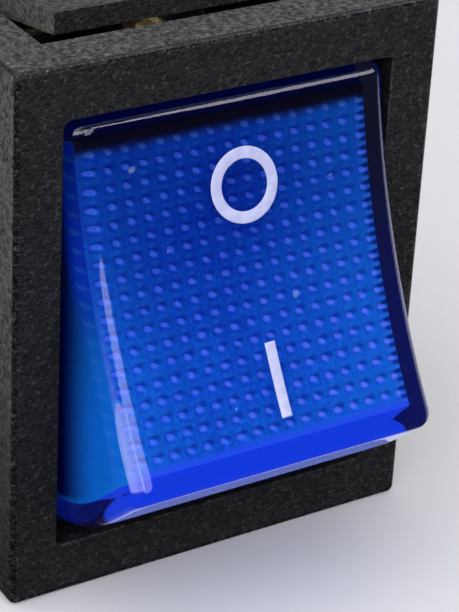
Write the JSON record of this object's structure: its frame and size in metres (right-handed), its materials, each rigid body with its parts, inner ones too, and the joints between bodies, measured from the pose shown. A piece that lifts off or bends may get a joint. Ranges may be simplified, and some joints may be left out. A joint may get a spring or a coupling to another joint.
{
  "type": "rocker switch",
  "caption": "Illuminated snap-in panel rocker switch with a dished translucent blue rocker, black bezel, O and I marks and rear blade terminals.",
  "frame": {"origin": "centre of the panel seat, the rear face of the bezel, which is where the panel's front face lies", "axes": "+Y into the panel, towards the terminals; +Z along the bezel's length, towards the O end; +X across the bezel, with the front seen from -Y"},
  "size_m": [0.025, 0.0388, 0.031],
  "materials": {
    "housing_plastic": "fine spark-eroded texture, softly polished edges",
    "rocker_lens": "clear-moulded translucent blue, polished face",
    "carrier_plastic": "natural white moulding",
    "lamp_glass": "clear drawn glass",
    "resistor_body": "dipped coating",
    "tinned_wire": "tinned, drawn",
    "lamp_brass": "stamped",
    "spring_steel": "drawn spring wire",
    "plunger_plastic": "natural nylon",
    "bridge_copper": "stamped strip",
    "contact_silver": "silver alloy, lightly polished",
    "terminal_brass": "stamped strip, bright edges"
  },
  "bodies": {
    "housing": {"housing": "housing_plastic", "terminal_common_left": "terminal_brass", "terminal_common_right": "terminal_brass", "terminal_load_left": "terminal_brass", "terminal_load_right": "terminal_brass", "fixed_contact_left": "contact_silver", "fixed_contact_right": "contact_silver", "lamp_feed_left": "spring_steel", "lamp_feed_right": "spring_steel"},
    "rocker": {"rocker": "rocker_lens", "lamp_carrier": "carrier_plastic", "lamp_bulb": "lamp_glass", "lamp_resistor": "resistor_body", "lamp_lead_left": "tinned_wire", "lamp_lead_right": "tinned_wire", "lamp_link": "tinned_wire", "lamp_pad_left": "lamp_brass", "lamp_pad_right": "lamp_brass", "plunger_spring_left": "spring_steel", "plunger_spring_right": "spring_steel"},
    "plunger_left": {"plunger_left": "plunger_plastic"},
    "plunger_right": {"plunger_right": "plunger_plastic"},
    "bridge_left": {"contact_bridge_left": "bridge_copper", "moving_contact_left": "contact_silver"},
    "bridge_right": {"contact_bridge_right": "bridge_copper", "moving_contact_right": "contact_silver"}
  },
  "joints": [
    {"name": "rocker_hinge", "type": "hinge", "parent": "housing", "child": "rocker", "pos_m": [0, 0.00135, 0], "axis": [1, 0, 0], "range_deg": [0, 45]},
    {"name": "plunger_left_slide", "type": "slide", "parent": "rocker", "child": "plunger_left", "axis": [0, -0.9239, 0.3827], "range_m": [0, 0.0012], "stiffness_N_per_m": 400, "deforming": ["plunger_spring_left"]},
    {"name": "plunger_right_slide", "type": "slide", "parent": "rocker", "child": "plunger_right", "axis": [0, -0.9239, 0.3827], "range_m": [0, 0.0012], "stiffness_N_per_m": 400, "deforming": ["plunger_spring_right"]},
    {"name": "bridge_left_hinge", "type": "hinge", "parent": "housing", "child": "bridge_left", "pos_m": [-0.0049, 0.01275, 0], "axis": [1, 0, 0], "range_deg": [-18, 0]},
    {"name": "bridge_right_hinge", "type": "hinge", "parent": "housing", "child": "bridge_right", "pos_m": [0.0049, 0.01275, 0], "axis": [1, 0, 0], "range_deg": [-18, 0]}
  ],
  "couplings": [
    {"joint": "bridge_left_hinge", "follows": "rocker_hinge", "ratio": -0.4},
    {"joint": "bridge_right_hinge", "follows": "rocker_hinge", "ratio": -0.4}
  ]
}
